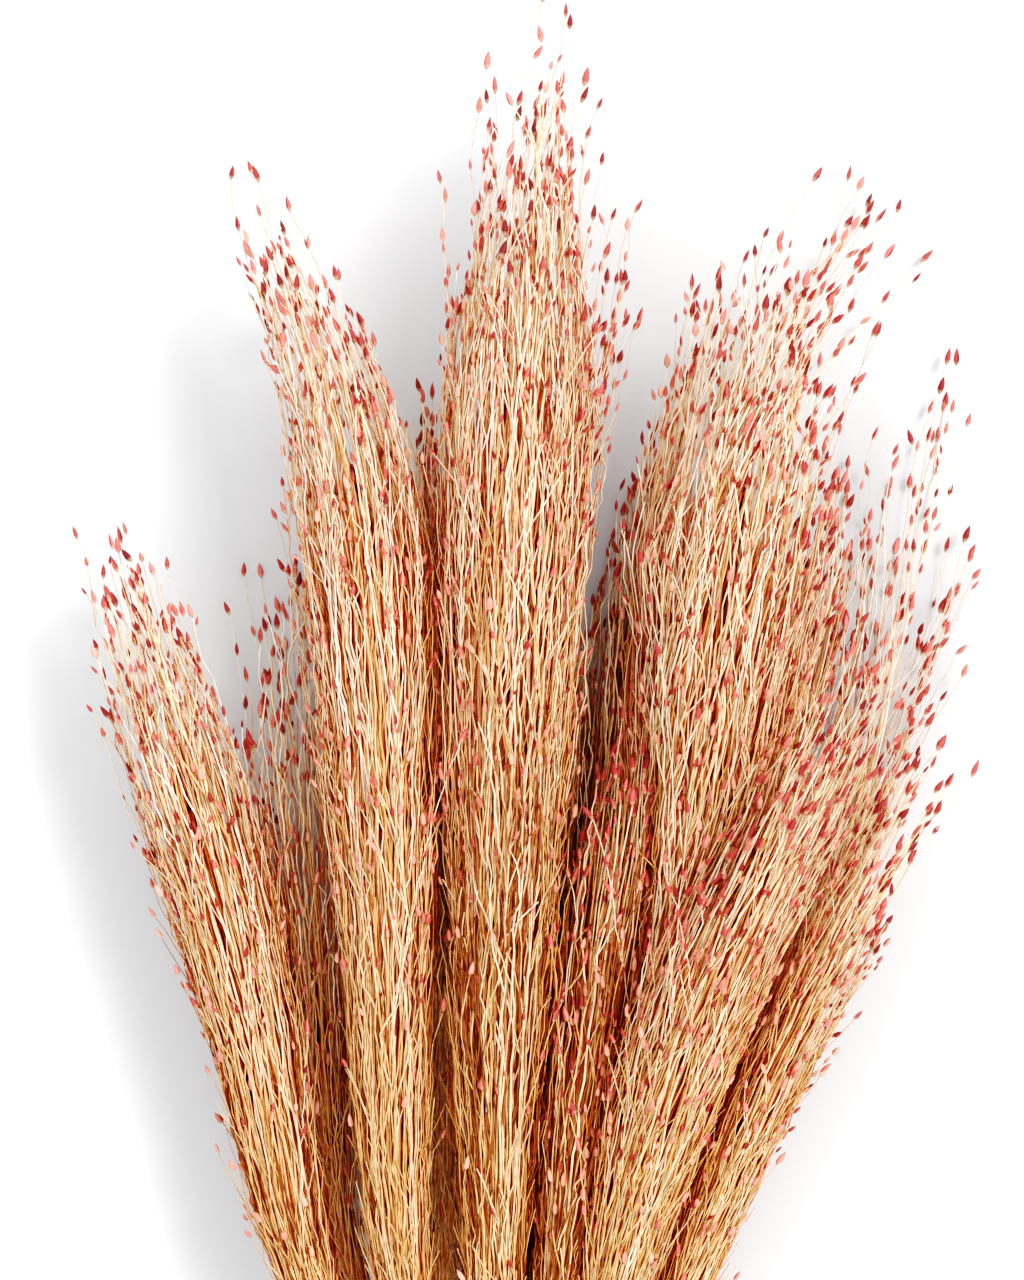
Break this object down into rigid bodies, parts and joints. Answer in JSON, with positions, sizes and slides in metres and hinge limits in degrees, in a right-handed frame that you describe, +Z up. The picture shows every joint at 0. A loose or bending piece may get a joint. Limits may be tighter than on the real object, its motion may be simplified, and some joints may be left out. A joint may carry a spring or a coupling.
{
  "type": "dried grass bunch",
  "caption": "Tied bunch of dried panicum grass with long brush-like seed heads that fan out from cut straw stems, lying on its side.",
  "frame": {"origin": "under the middle of the lying bunch, on the surface that it rests on", "axes": "+Y from the cut stem ends towards the tips of the seed heads, +Z up from the surface, +X to the right seen from above"},
  "size_m": [0.2258, 0.5934, 0.0648],
  "materials": {
    "straw": "dry matt straw",
    "jute": "matt natural jute twine"
  },
  "bodies": {
    "root": {"panicle_01": "straw", "panicle_02": "straw", "panicle_03": "straw", "panicle_04": "straw", "panicle_05": "straw", "panicle_06": "straw", "panicle_07": "straw", "panicle_08": "straw", "panicle_09": "straw", "panicle_10": "straw", "panicle_11": "straw", "panicle_12": "straw", "twine_tie": "jute"}
  },
  "joints": []
}
